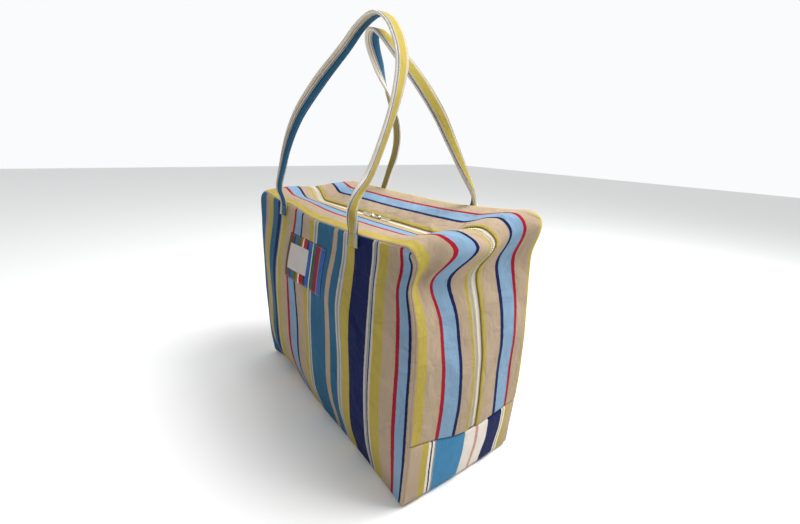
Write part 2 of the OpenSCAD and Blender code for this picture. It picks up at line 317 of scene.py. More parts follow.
def settle(points):
    """Where the points of the stiff bag end up on the real, soft one."""
    x, y, z = np.array(points, float).T
    out = np.sign(x)
    across = np.clip(y / half_d, -1, 1)
    near_top = ramp(z, 0.20, height)
    in_front = np.clip(-across, 0, 1)
    behind = np.clip(across, 0, 1)
    sag = eased(x, ZIP_LINE, 0.012) * (1 - in_front - behind)
    sag = sag + eased(x, FRONT_EDGE) * in_front + eased(x, BACK_EDGE) * behind
    puff = np.sin(math.pi * np.abs(across)) * (5 * MM * in_front**0.3 + 3 * MM * behind**0.3)
    dz = (puff - sag) * near_top
    # the ends belly out, and the seams beside them follow by half
    at_end = ramp(np.abs(x), 0.13, half_w)
    belly = eased(z, END_BELLY, 0.016) * (1 - 0.55 * across**2)
    dx = out * belly * at_end * np.where(x > 0, 1.0, 0.6)
    # the front and back panels belly out too, and draw in along their top and bottom edges
    at_face = ramp(np.abs(y), 0.03, half_d)
    middle = np.clip(1 - (x / half_w) ** 4, 0, 1)
    fuller = np.where(y < 0, 1 + 0.35 * ramp(-x, -0.05, 0.15), 0.5)
    face = eased(z, FACE_BELLY) * middle * fuller
    dy = np.sign(y) * at_face * face
    # the front's lower left corner is tucked under
    dy += at_face * (y < 0) * 13 * MM * bump(z, 0.036) * bump(x + 0.19, 0.08)
    # the front right corner seam leans round towards the end
    corner = ramp(x, 0.16, half_w) * ramp(-y, 0.05, half_d)
    dx += corner * 7 * MM * np.sin(math.pi * np.clip(z / 0.37, 0, 1)) ** 0.8
    dy += corner * 5 * MM * ramp(z, 0.1, 0.3)
    # the cloth of the right end is drawn in and towards the front below the dented corner
    slack = ramp(x, 0.20, half_w)
    dx -= slack * 5 * MM * bump(z - 0.318, 0.03) * bump(y + 0.055, 0.04)
    dy -= slack * 11 * MM * bump(z - 0.318, 0.034) * bump(y + 0.05, 0.045)
    dy += slack * 22 * MM * bump(z - 0.364, 0.018) * bump(y + 0.035, 0.055)
    dy += slack * 9 * MM * bump(z - 0.372, 0.03) * bump(y - 0.03, 0.05)
    # its back half is fuller, so the cloth there lies nearer to the back seam
    halfway_up = ramp(z, 0.03, 0.14) * ramp(-z, -0.34, -0.24)
    dy += slack * 5 * MM * bump(y - 0.062, 0.035) * halfway_up
    # the base turns up higher at the front corners
    turn_hat = np.clip(np.minimum(z / turn_up, (0.24 - z) / (0.24 - turn_up)), 0, 1)
    dz += ramp(np.abs(x), 0.2, half_w) * 20 * MM * turn_hat * ramp(-across, 0.15, 1.1)
    # the dent that was pushed into the front right top corner
    dent = bump(np.sqrt((x - 0.243) ** 2 + (y + 0.104) ** 2 + (z - 0.352) ** 2), 0.034)
    pinch = bump(np.sqrt((x - 0.25) ** 2 + (y + 0.09) ** 2 + 0.3 * (z - 0.335) ** 2), 0.013)
    dx -= 9 * MM * dent + 6 * MM * pinch
    dy += 8 * MM * dent
    dz -= 9 * MM * dent
    # the back right top corner is held up and out by what the bag holds
    back_corner = bump(np.sqrt((x - 0.25) ** 2 + (y - 0.11) ** 2 + (z - 0.38) ** 2), 0.06)
    dx += 7 * MM * back_corner
    dy += 4 * MM * back_corner
    # slow waves in the cloth, quiet where the bag stands on its base
    loose = ramp(z, 0.0, 0.06)
    dx += 3.4 * MM * slow_waves(x, y, z, 0, 4) * loose * (0.4 + at_end)
    dy += 3.4 * MM * slow_waves(x, y, z, 4, 9) * loose * (0.3 + 0.9 * at_face)
    dz += 1.6 * MM * slow_waves(x, y, z, 9, 14) * ramp(z, 0.25, height) * in_front
    dz += 1.2 * MM * slow_waves(x, y, z, 9, 14) * ramp(z, 0.25, height) * behind
    return np.column_stack((x + dx, y + dy, z + dz))


def on_panel(x, z, lift, side):
    """A point that ends up at x and z, lying on the sagged front (-1) or back (1) panel."""
    start = np.column_stack((x, np.full_like(x, side * half_d), z))
    want = start.copy()
    for _ in range(12):
        ahead = settle(start)
        start[:, 0] += want[:, 0] - ahead[:, 0]
        start[:, 2] += want[:, 2] - ahead[:, 2]
    ahead = settle(start)
    return np.column_stack((x, ahead[:, 1] + side * lift, z))


print("zip sinks", round(float(eased(np.array([0.0]), ZIP_LINE)[0] / MM)), "mm")

# %% [markdown]
# ## Woven cotton canvas
# Heavy cotton canvas is a plain weave of thick yarns, dyed before weaving, so the stripes run
# exactly with the warp and have crisp but slightly furry edges. It is matt, with a faint sheen at a
# low angle from loose fibres. The yarns are uneven, which gives fine streaks along the stripes. Its
# real thread spacing is about 0.6 mm. It is drawn at 1.1 mm, because the real one is too fine to
# show. Each pattern reads the piece's own UV map, in metres, so the weave follows the cloth over
# every bend.

# %% Stripes and canvas
YARN = {
    "beige": "#A7937C",
    "rose": "#A0877E",
    "blush": "#BC8C85",
    "yellow": "#A99746",
    "teal": "#2A5C7B",
    "navy": "#111B4A",
    "sky": "#7A97B0",
    "red": "#961428",
    "cream": "#D8D1C4",
    "pale": "#B4ADA1",
    "grey": "#86898A",
    "blue": "#3F7CA4",
    "dark": "#241C1A",
    "brown": "#603A1C",
    "cobalt": "#1D559C",
    "olive": "#445A22",
    "orange": "#B25C2A",
    "green": "#245A3A",
    "plum": "#6E0F34",
    "linen": "#DCD6C8",
}


# one colour ramp holds 32 stops, so a longer row of stripes is shared between two
RAMP_STOPS = 31


def stripe_colour(tree, across, stripes):
    """Hard-edged colour bands, given as (width in mm, colour) from 0 upwards."""
    total = sum(width for width, _ in stripes)
    edges, so_far = [], 0
    for width, colour in stripes:
        edges.append((so_far / total, colour))
        so_far += width
    share = maths(tree, "MULTIPLY", across, 1 / (total * MM))
    halves = []
    first, rest = edges[:RAMP_STOPS], edges[RAMP_STOPS:]
    for part in (first, [(0, first[-1][1]), *rest] if rest else []):
        if not part:
            continue
        bands = add(tree, "ShaderNodeValToRGB", {"Fac": share})
        bands.color_ramp.interpolation = "CONSTANT"
        while len(bands.color_ramp.elements) < len(part):
            bands.color_ramp.elements.new(1.0)
        for stop, (place, colour) in zip(bands.color_ramp.elements, part):
            stop.position = place
            stop.color = linear(YARN[colour])
        halves.append(bands.outputs["Color"])
    if len(halves) == 1:
        return halves[0]
    return mixed(tree, maths(tree, "GREATER_THAN", share, rest[0][0]), *halves)


def woven(name, stripes, thread=1.1, depth=0.35, roughness=0.88, crumple=1.0):
    """A woven cloth whose stripes run along the UV map's second axis."""
    made, tree, shader = new_material(name)
    laid = add(tree, "ShaderNodeUVMap", uv_map="cloth").outputs["UV"]
    # the stripes' edges wander by about half a millimetre
    wander = noise(tree, laid, 160.0, 2.0)
    shift = maths(tree, "MULTIPLY_ADD", wander, 1.4 * MM, -0.7 * MM)
    axes = add(tree, "ShaderNodeSeparateXYZ", {0: laid})
    colour = stripe_colour(tree, maths(tree, "ADD", axes.outputs["X"], shift), stripes)
    # warp and weft as two crossing waves. A wave of scale 1 is 0.314 m long
    wave = {"Vector": laid, "Scale": 0.314 / (thread * MM), "Distortion": 0.6}
    warp = add(tree, "ShaderNodeTexWave", wave, bands_direction="X")
    weft = add(tree, "ShaderNodeTexWave", wave, bands_direction="Y")
    weave = maths(tree, "MULTIPLY", warp.outputs["Fac"], weft.outputs["Fac"])
    # uneven yarns: streaks 1 to 2 mm wide and a few centimetres long
    stretch = add(tree, "ShaderNodeMapping", {"Vector": laid, "Scale": (620.0, 34.0, 1.0)})
    slubs = noise(tree, stretch.outputs["Vector"], 1.0, 3.0)
    # slow fading over hand-sized areas
    fade = noise(tree, laid, 14.0, 3.0)
    # painted highlight: the cloth is made lighter along its rolls into the seams and over its
    # folded edges, where light catches them
    roll_highlight = add(tree, "ShaderNodeAttribute", attribute_name="painted_roll_light").outputs["Fac"]
    value = 0.76
    for part, share in ((slubs, 0.34), (fade, 0.22), (weave, 0.16), (roll_highlight, 0.12)):
        value = maths(tree, "MULTIPLY_ADD", part, share, value)
    value = maths(tree, "SUBTRACT", value, 0.10)
    shaded = add(tree, "ShaderNodeVectorMath", {0: colour, 1: value}, operation="MULTIPLY")
    # small creases of 10 to 40 mm, under the weave's own relief
    crease = noise(tree, laid, 30.0, 3.0, Roughness=0.45, Distortion=0.7)
    soft = relief(tree, crease, 0.75, 9.0 * MM * crumple)
    yarns = maths(tree, "MULTIPLY_ADD", slubs, 0.5, weave)
    finish = {
        "Base Color": shaded.outputs[0],
        # thick yarns are a little rougher than thin ones
        "Roughness": maths(tree, "MULTIPLY_ADD", slubs, 0.16, roughness - 0.1),
        "Sheen Weight": 0.03,
        "Sheen Roughness": 0.5,
        "Specular IOR Level": 0.08,
        "Normal": relief(tree, yarns, 0.6, depth * MM, Normal=soft),
    }
    feed(tree, shader, finish)
    return made


FRONT_STRIPES = [(33, "teal"), (9, "rose"), (8, "beige"), (17, "yellow"), (24, "teal")]
FRONT_STRIPES += [(16, "navy"), (6, "grey"), (3, "pale"), (22, "yellow"), (27, "beige")]
FRONT_STRIPES += [(7, "red"), (24, "sky"), (7, "navy"), (28, "beige"), (15, "yellow")]
FRONT_STRIPES += [(4, "pale"), (5, "grey"), (4, "pale"), (52, "teal"), (14, "beige")]
FRONT_STRIPES += [(20, "teal"), (4, "pale"), (3, "grey"), (4, "pale"), (3, "grey")]
FRONT_STRIPES += [(19, "yellow"), (39, "navy"), (4, "pale"), (3, "grey"), (3, "navy")]
FRONT_STRIPES += [(4, "pale"), (17, "yellow"), (22, "beige"), (6, "red"), (13, "sky")]
FRONT_STRIPES += [(4, "navy"), (7, "beige")]
GUSSET_STRIPES = [(2, "beige"), (14, "yellow"), (26, "beige"), (6, "red"), (22, "sky")]
GUSSET_STRIPES += [(5, "navy"), (18, "beige"), (8.5, "yellow"), (1, "cream")]
# the back strip has a narrower edge, and its bands differ by a millimetre or two
BACK_GUSSET_STRIPES = [(7, "yellow"), (24, "beige"), (6, "red"), (23, "sky"), (6, "navy")]
BACK_GUSSET_STRIPES += [(27, "beige"), (8.5, "yellow"), (1, "cream")]
BASE_STRIPES = [(24, "beige"), (12, "yellow"), (4, "cream"), (2, "navy"), (4, "cream")]
BASE_STRIPES += [(2, "grey"), (49, "blue"), (20, "cream"), (6, "blush"), (20, "cream")]
BASE_STRIPES += [(33, "navy"), (3, "cream"), (3, "grey"), (4, "cream"), (12, "yellow")]
BASE_STRIPES += [(17, "beige")]
front_canvas = woven("woven_cotton_canvas_front", FRONT_STRIPES)
gusset_canvas = woven("woven_cotton_canvas_gusset", GUSSET_STRIPES)
back_gusset_canvas = woven("woven_cotton_canvas_back_gusset", BACK_GUSSET_STRIPES)
base_canvas = woven("woven_cotton_canvas_base", BASE_STRIPES, crumple=0.7)
print("stripes:", len(FRONT_STRIPES), len(GUSSET_STRIPES), len(BASE_STRIPES))

# %% [markdown]
# ## Cloth pieces
# A piece of cloth starts as a flat grid with a fine edge, so that its border can roll into the
# seam. The grid's two numbers are millimetres of real cloth, kept as its UV map. A function then
# says where each point goes on the stiff box, and the sag takes it from there. A thin inner face
# makes it a closed shell.


# %% Cloth helpers
def lay_out(across, along, place, uv_of=None, roll_light_of=None):
    """A grid of cloth. place(u, v) gives each point's spot in the row frame."""
    bm = bmesh.new()
    bmesh.ops.create_grid(bm, x_segments=len(across) - 1, y_segments=len(along) - 1, size=0.5)
    flat = np.array([v.co for v in bm.verts])
    u = across[np.rint((flat[:, 0] + 0.5) * (len(across) - 1)).astype(int)]
    v = along[np.rint((flat[:, 1] + 0.5) * (len(along) - 1)).astype(int)]
    spots = place(u, v)
    for vert, spot in zip(bm.verts, spots):
        vert.co = spot
    uv = uv_of(u, v) if uv_of else np.column_stack((u, v))
    # each point's share of the painted highlight on rolled seams and folded edges, kept as a point
    # attribute
    painted_roll_light = roll_light_of(u, v) if roll_light_of else np.zeros(len(u))
    layer = bm.loops.layers.uv.new("cloth")
    roll_light_layer = bm.verts.layers.float.new("painted_roll_light")
    bm.verts.index_update()
    for vert, amount in zip(bm.verts, painted_roll_light):
        vert[roll_light_layer] = amount
    for face in bm.faces:
        for corner in face.loops:
            corner[layer].uv = uv[corner.vert.index]
    return bm


def face_out(bm):
    """Turns an open shell's faces away from the middle of the bag."""
    bm.normal_update()
    middle = Vector((0, 0, height * 0.45))
    outward = sum(f.normal.dot(f.calc_center_median() - middle) * f.calc_area() for f in bm.faces)
    if outward < 0:
        bmesh.ops.reverse_faces(bm, faces=bm.faces[:])


def keep(bm, name, paint, body="bag", stands_for=(), thick=0):
    """Makes the piece an object that rides on a body and stands for its CAD nodes."""
    mesh = bpy.data.meshes.new(name)
    bm.to_mesh(mesh)
    bm.free()
    mesh.materials.append(paint)
    mesh.shade_smooth()
    made = bpy.data.objects.new(name, mesh)
    scene.collection.objects.link(made)
    if thick:
        wall = made.modifiers.new("inner_face", "SOLIDIFY")
        wall.thickness, wall.offset = thick, -1
    if stands_for:
        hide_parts(*stands_for)
    if body:
        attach(made, body)
    return made


def steps(low, high, step, edge_low=(), edge_high=()):
    """Even steps between two ends, with extra ones near an end that rolls over."""
    inner_low = low + (edge_low[-1] if edge_low else 0)
    inner_high = high - (edge_high[-1] if edge_high else 0)
    count = max(2, int(round((inner_high - inner_low) / step)) + 1)
    return np.array(
        [low + e for e in edge_low[:-1]]
        + list(np.linspace(inner_low, inner_high, count))
        + [high - e for e in reversed(edge_high[:-1])]
    )


# distance from the box's edge, and how far the cloth dips there into the seam, in mm
SEAM_FROM = [2.6, 2.8, 3.6, 5.0, 7.0, 10.0]
SEAM_DOWN = [3.4, 2.0, 1.1, 0.5, 0.15, 0.0]
SEAM_STEPS = [(d - SEAM_FROM[0]) * MM for d in SEAM_FROM]


def seam_dip(distance):
    return -np.interp(distance / MM, SEAM_FROM, SEAM_DOWN) * MM


print("cloth dips", SEAM_DOWN[0], "mm into each seam")

# %% [markdown]
# ## Front and back panels
# Each panel is one rectangle of cloth with rounded corners. The grid's corner squares are squeezed
# into quarter rounds, which keeps the rows parallel to the border, so the border can roll into the
# seam all the way round.


# %% Panels
def panel_place(side):
    def place(u, v):
        x, z = u.copy(), v.copy()
        inset = np.minimum(half_w - np.abs(x), np.minimum(z, height - z))
        for radius, corner_z, way in ((TOP_R, height, 1), (BOTTOM_R, 0, -1)):
            a = np.abs(x) - (half_w - radius)
            b = way * (z - corner_z) + radius
            in_square = (a > 0) & (b > 0)
            shrink = np.where(in_square, np.maximum(a, b) / np.maximum(np.hypot(a, b), 1e-9), 1)
            x = np.where(in_square, np.sign(x) * (half_w - radius + a * shrink), x)
            z = np.where(in_square, corner_z + way * (b * shrink - radius), z)
        y = side * (half_d + seam_dip(inset))
        return settle(np.column_stack((x, y, z)))

    return place


inner = SEAM_FROM[0] * MM
panel_across = steps(-half_w + inner, half_w - inner, 4 * MM, SEAM_STEPS, SEAM_STEPS)
panel_up = steps(inner, height - inner, 4 * MM, SEAM_STEPS, SEAM_STEPS)
for side, name in HALVES:
    bm = lay_out(
        panel_across,
        panel_up,
        panel_place(side),
        uv_of=lambda u, v: np.column_stack((u + half_w, v)),
        # painted highlight along the panel's roll into its seam
        roll_light_of=lambda u, v: bump(
            np.minimum(half_w - np.abs(u), np.minimum(v, height - v)) - 0.005, 0.004
        ),
    )
    face_out(bm)
    cloth = keep(
        bm,
        f"{name}_panel_cloth",
        front_canvas,
        stands_for=[f"{name}_panel"],
        thick=CLOTH_THICK,
    )
    print(cloth.name, len(cloth.data.polygons), "faces")

# %% [markdown]
# ## Base
# The base is one strip that turns up at both ends, where it meets the gusset in a plain seam. The
# same strip method makes it and the gusset: a grid laid along a path.


# %% Base cloth
END_FROM = [0.0, 1.0, 2.0, 4.0, 7.0]
END_DOWN = [2.4, 1.3, 0.6, 0.1, 0.0]
END_STEPS = [d * MM for d in END_FROM]


def end_dip(s, path):
    """The cloth's dip into the seam where the gusset meets the base."""
    return (-np.interp(np.minimum(s, path["long"] - s) / MM, END_FROM, END_DOWN) * MM)


base_across = steps(-half_d + inner, half_d - inner, 4.5 * MM, SEAM_STEPS, SEAM_STEPS)
base_along = steps(0, base_path["long"], 5 * MM, END_STEPS, END_STEPS)
bm = lay_out(
    base_across,
    base_along,
    lambda u, v: settle(
        wrap(base_path, v, u, seam_dip(half_d - np.abs(u)) + end_dip(v, base_path))
    ),
    uv_of=lambda u, v: np.column_stack((u + half_d, v)),
    # painted highlight along the base's roll into its seams
    roll_light_of=lambda u, v: bump(half_d - np.abs(u) - 0.005, 0.004),
)
face_out(bm)
base_cloth = keep(
    bm,
    "base_cloth",
    base_canvas,
    stands_for=["base_panel"],
    thick=CLOTH_THICK,
)
print("base", len(base_cloth.data.polygons), "faces")

# %% [markdown]
# ## Gusset
# The gusset is two long strips with the zip between them. Each runs up one end, along the top and
# down the other end in one length. Its edge beside the zip is folded under. When the zip opens, the
# strip's middle folds down into the bag, while its ends and its seam stay put. The strips here are
# built closed.


def opens(piece):
    """Bakes the piece's world place into its mesh."""
    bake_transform(piece)


FOLD_FROM, FOLD_DOWN = [0, 0.4, 1.2, 2.6], [1.7, 0.6, 0.1, 0]
FOLD_STEPS = [d * MM for d in FOLD_FROM]


def fold_dip(y):
    """The rounded folded edge beside the zip."""
    return -np.interp((np.abs(y) - fold_y) / MM, FOLD_FROM, FOLD_DOWN) * MM


gusset_across = steps(fold_y, half_d - inner, 4.2 * MM, FOLD_STEPS, SEAM_STEPS)
gusset_along = steps(0, gusset_path["long"], 4.6 * MM, END_STEPS, END_STEPS)
for side, name in HALVES:
    bm = lay_out(
        gusset_across,
        gusset_along,
        lambda u, v: settle(
            wrap(
                gusset_path,
                v,
                side * u,
                seam_dip(half_d - u) + fold_dip(u) + end_dip(v, gusset_path),
            )
        ),
        uv_of=lambda u, v: np.column_stack((half_d - inner - u, v)),
        # painted highlight along the roll into the seam and over the folded edge beside the zip
        roll_light_of=lambda u, v: bump(half_d - u - 0.005, 0.004) + bump(u - fold_y, 0.002),
    )
    face_out(bm)
    cloth = keep(
        bm,
        f"{name}_gusset_cloth",
        gusset_canvas if side < 0 else back_gusset_canvas,
        body=None,
        stands_for=[f"{name}_left_gusset", f"{name}_top_flap", f"{name}_right_gusset"],
        thick=CLOTH_THICK,
    )
    opens(cloth)
    print(cloth.name, len(cloth.data.polygons), "faces")

# %% [markdown]
# ## Zip tapes
# A zip tape is a narrow woven polyester band. Its inner edge carries the teeth on a thick bead, and
# its outer part lies under the gusset's folded edge, where it is sewn. It follows the same path as
# the gusset, a little deeper.

# %% Zip tapes
tape_cloth = woven(
    "woven_polyester_zip_tape", [(6, "pale"), (20, "beige")], thread=0.9, crumple=0.3
)
tape_across = np.array([0.8, 1.6, 2.4, 3.0, 3.6, 4.4, 6.0, 8.0, 10.0, 12.5, 14.6]) * MM
tape_lift = np.array([-2.2, -2.1, -1.9, -1.7, -1.9, -2.3, -2.5, -2.6, -2.7, -2.8, -2.8]) * MM
for side, name in HALVES:
    bm = lay_out(
        tape_across,
        gusset_along,
        lambda u, v: settle(
            wrap(
                gusset_path,
                v,
                side * u,
                np.interp(u, tape_across, tape_lift) + end_dip(v, gusset_path),
            )
        ),
    )
    face_out(bm)
    tape = keep(
        bm,
        f"{name}_zip_tape",
        tape_cloth,
        body=None,
        stands_for=[f"{name}_left_tape", f"{name}_top_tape", f"{name}_right_tape"],
        thick=0.6 * MM,
    )
    opens(tape)
    print(tape.name, round(gusset_path["long"], 3), "m long")

# %% [markdown]
# ## Zip teeth
# The teeth are moulded straight onto the tape in acetal, a slippery cream plastic with a soft
# shine. One tooth is a small block with a round-edged head that reaches past the middle, between
# two teeth of the other row. It is made once, then laid flat all along the tape, and the whole row
# is wrapped and sagged in one go.


# %% Acetal and the teeth
def moulded(name, colour, other, roughness, metallic=0.0, grain=900.0, relief_height=0.05):
    """A moulded or cast material with a fine grain on the object's own coordinates."""
    made, tree, shader = new_material(name)
    place = add(tree, "ShaderNodeTexCoord").outputs["Object"]
    fine = noise(tree, place, grain, 3.0)
    broad = noise(tree, place, grain / 12, 4.0)
    finish = {
        "Base Color": mixed(tree, broad, linear(colour), linear(other)),
        "Roughness": maths(tree, "MULTIPLY_ADD", broad, 0.22, roughness - 0.11),
        "Metallic": metallic,
        "Normal": relief(tree, fine, 0.5, relief_height * MM),
    }
    feed(tree, shader, finish)
    return made


def repeat(shape, spots):
    """Copies of a small shape at (along, across, turn): the mesh and its flat points."""
    template = bpy.data.meshes.new("template")
    shape.to_mesh(template)
    base = np.array([v.co for v in shape.verts])
    shape.free()
    bm, flat = bmesh.new(), []
    for along, across, turn in spots:
        bm.from_mesh(template)
        c, s = math.cos(turn), math.sin(turn)
        flat.append(
            np.column_stack(
                (
                    along + base[:, 0] * c - base[:, 1] * s,
                    across + base[:, 0] * s + base[:, 1] * c,
                    base[:, 2],
                )
            )
        )
    bpy.data.meshes.remove(template)
    return bm, np.concatenate(flat)


def bend_to(bm, spots):
    """Moves a mesh's points to their final spots and turns its faces outwards."""
    for vert, spot in zip(bm.verts, spots):
        vert.co = spot
    bmesh.ops.recalc_face_normals(bm, faces=bm.faces[:])


def round_edges(bm, rounding, segments):
    """Bevels every edge of a mesh."""
    bmesh.ops.bevel(
        bm,
        geom=bm.edges[:],
        offset=rounding,
        segments=segments,
        profile=0.5,
        affect="EDGES",
        material=-1,
    )


def spin_whole(bm, axis, angle, steps, use_merge):
    """Spins everything in a mesh round an axis through the origin."""
    bmesh.ops.spin(
        bm,
        geom=bm.faces[:] + bm.edges[:] + bm.verts[:],
        cent=(0, 0, 0),
        axis=axis,
        dvec=(0, 0, 0),
        angle=angle,
        steps=steps,
        use_merge=use_merge,
    )


def block(size, centre, rounding, segments=1):
    """A small block with rounded edges."""
    bm = bmesh.new()
    bmesh.ops.create_cube(bm, size=1)
    bmesh.ops.scale(bm, vec=size, verts=bm.verts)
    bmesh.ops.translate(bm, vec=centre, verts=bm.verts)
    round_edges(bm, rounding, segments)
    return bm


acetal = moulded("moulded_acetal_teeth", "#D6CFBB", "#C2B89C", 0.40)
TOOTH_PITCH = 3.0 * MM
tooth_count = int((gusset_path["long"] - 8 * MM) / TOOTH_PITCH)
for side, name in HALVES:
    tooth = block((1.15 * MM, 3.9 * MM, 2.6 * MM), (0, 0.75 * MM, -2.3 * MM), 0.4 * MM)
    half_pitch = 0.25 * TOOTH_PITCH * side
    bm, flat = repeat(
        tooth,
        [(4 * MM + (k + 0.5) * TOOTH_PITCH + half_pitch, 0, 0) for k in range(tooth_count)],
    )
    bend_to(bm, settle(wrap(gusset_path, flat[:, 0], side * flat[:, 1], flat[:, 2])))
    teeth = keep(
        bm,
        f"{name}_zip_teeth",
        acetal,
        body=None,
        stands_for=[f"{name}_left_teeth", f"{name}_top_teeth", f"{name}_right_teeth"],
    )
    teeth.data.shade_flat()
    opens(teeth)
    print(teeth.name, tooth_count, "teeth")

# %% [markdown]
# ## Sliders and pulls
# The sliders are die-cast zinc with a thin nickel plate, bright but slightly uneven from the
# casting. Each has a shield-shaped top plate, two flanges beside the teeth and an arched loop on
# top that holds its pull. They stand nose to nose, mirrored, so one function makes both.

# %% Sliders
zinc = moulded("nickel_plated_die_cast_zinc", "#D9D5CB", "#BDB8AC", 0.3, 1.0, 1400.0, 0.03)
PIN_RADIUS = 0.7 * MM


def join(target, extra):
    """Adds one mesh to another."""
    mesh = bpy.data.meshes.new("extra")
    extra.to_mesh(mesh)
    extra.free()
    target.from_mesh(mesh)
    bpy.data.meshes.remove(mesh)


def half_ring(centre, radius, across, thick, sweep):
    """An arch, or a whole ring: a small square spun round the Y axis."""
    bm = bmesh.new()
    bmesh.ops.create_grid(bm, x_segments=1, y_segments=1, size=0.5)
    bmesh.ops.scale(bm, vec=(thick, across, 1), verts=bm.verts)
    bmesh.ops.translate(bm, vec=(radius, 0, 0), verts=bm.verts)
    spin_whole(bm, (0, -1, 0), sweep, 14, use_merge=False)
    bmesh.ops.translate(bm, vec=centre, verts=bm.verts)
    bmesh.ops.remove_doubles(bm, verts=bm.verts, dist=1e-6)
    bmesh.ops.recalc_face_normals(bm, faces=bm.faces[:])
    return bm


for side, name in ENDS:
    low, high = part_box(f"{name}_slider")
    centre_x = (low.x + high.x) / 2
    long, wide = high.x - low.x, high.y - low.y
    plate_z = zip_z + 1.1 * MM
    bm = bmesh.new()
    bmesh.ops.create_cube(bm, size=1)
    bmesh.ops.subdivide_edges(
        bm,
        edges=[e for e in bm.edges if abs(e.verts[0].co.x - e.verts[1].co.x) > 0.5],
        cuts=5,
        use_grid_fill=True,
    )
    for vert in bm.verts:
        # the nose, where the two sliders face each other, is the wide end
        towards_nose = 0.5 - vert.co.x * side
        waist = 0.80 + 0.20 * math.cos(2.6 * (towards_nose - 0.9))
        dome = 0.35 * MM * (1 - (2 * vert.co.x) ** 2) if vert.co.z > 0 else 0
        vert.co = (
            centre_x + vert.co.x * long,
            vert.co.y * wide * waist,
            plate_z + vert.co.z * 1.3 * MM + dome,
        )
    round_edges(bm, 0.28 * MM, 2)
    for way in (-1, 1):
        join(
            bm,
            block(
                (long * 0.86, 1.1 * MM, 1.7 * MM),
                (centre_x, way * (wide / 2 - 0.75 * MM), plate_z - 0.7 * MM),
                0.25 * MM,
                2,
            ),
        )
    pin_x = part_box(f"{name}_pull")[0 if side > 0 else 1].x + side * PIN_RADIUS
    join(bm, half_ring((pin_x, 0, plate_z + 0.5 * MM), 2.5 * MM, 2.4 * MM, 0.85 * MM, math.pi))
    slider = keep(
        bm,
        f"{name}_zip_slider",
        zinc,
        body=f"{name}_slider",
        stands_for=[f"{name}_slider"],
    )
    slider.data.shade_flat()
    print(slider.name, len(slider.data.polygons), "faces, pin at x", round(pin_x, 4))

# %% [markdown]
# ## Pulls
# A pull hangs on its slider by a cross pin with two arms. Its tongue is narrow at the arms and
# widens to a round eye, and it is cast with a raised rim. The tongue is a grid that is given its
# outline and then a thickness.

# %% Pulls
for side, name in ENDS:
    low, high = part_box(f"{name}_pull")
    pin_x = low.x + PIN_RADIUS if side > 0 else high.x - PIN_RADIUS
    pin_z = (low.z + high.z) / 2
    long, wide = high.x - low.x - PIN_RADIUS, high.y - low.y
    eye_x = long - wide / 2
    bm = bmesh.new()
    bmesh.ops.create_grid(bm, x_segments=20, y_segments=6, size=0.5)
    for vert in bm.verts:
        run = vert.co.x + 0.5
        x = 4 * MM + run * (eye_x - 5.6 * MM)
        half = (1.6 + 1.2 * run**1.5 - 0.35 * math.sin(math.pi * run)) * MM
        rim = 0.22 * MM if abs(vert.co.y) > 0.3 else 0
        vert.co = (x, vert.co.y * 2 * half, 0.3 * MM + rim)
    top = bm.faces[:]
    bmesh.ops.recalc_face_normals(bm, faces=top)
    bmesh.ops.solidify(bm, geom=top, thickness=1.1 * MM)
    eye = bmesh.new()
    bmesh.ops.create_circle(eye, cap_ends=True, segments=10, radius=0.75 * MM)
    bmesh.ops.rotate(
        eye, verts=eye.verts, cent=(0, 0, 0), matrix=Matrix.Rotation(math.pi / 2, 3, "X")
    )
    bmesh.ops.scale(eye, vec=(1, 1, 0.9), verts=eye.verts)
    bmesh.ops.translate(eye, vec=(2.3 * MM, 0, 0), verts=eye.verts)
    spin_whole(eye, (0, 0, 1), 2 * math.pi, 28, use_merge=True)
    bmesh.ops.translate(eye, vec=(eye_x, 0, 0), verts=eye.verts)
    join(bm, eye)
    for way in (-1, 1):
        join(
            bm,
            block(
                (5.4 * MM, 0.7 * MM, 1.3 * MM),
                (2.3 * MM, way * (wide / 2 - 0.45 * MM), 0),
                0.2 * MM,
                2,
            ),
        )
    join(bm, block((1.2 * MM, wide - 0.4 * MM, 1.2 * MM), (0, 0, 0), 0.3 * MM, 2))
    bmesh.ops.recalc_face_normals(bm, faces=bm.faces[:])
    if side < 0:
        bmesh.ops.rotate(
            bm, verts=bm.verts, cent=(0, 0, 0), matrix=Matrix.Rotation(math.pi, 3, "Z")
        )
    bmesh.ops.translate(bm, vec=(pin_x, 0, pin_z), verts=bm.verts)
    pull = keep(
        bm,
        f"{name}_zip_pull",
        zinc,
        body=f"{name}_pull",
        stands_for=[f"{name}_pull"],
    )
    print(pull.name, len(pull.data.polygons), "faces")

# %% [markdown]
# ## Handles
# Each handle is a long strap of the same canvas, folded to four layers and sewn along both edges,
# so it is a flat tube with one face mostly yellow and the other mostly blue. It lies flat on the
# panel where it is sewn on, and turns edge-on as it rises. The strap is a grid wrapped into a tube
# round a centre line, and the centre line is a smooth curve through the points of the handle's
# route.

# %% Strap route
STRAP_STRIPES = [(1.5, "navy"), (2, "grey"), (1.5, "pale"), (14, "yellow"), (6, "pale")]
STRAP_STRIPES += [(1.5, "beige"), (14, "teal"), (1.5, "navy"), (4, "grey"), (1.5, "cream")]
STRAP_STRIPES += [(2.5, "beige"), (3, "cream")]
strap_canvas = woven("woven_cotton_canvas_strap", STRAP_STRIPES, thread=1.0, crumple=0.35)
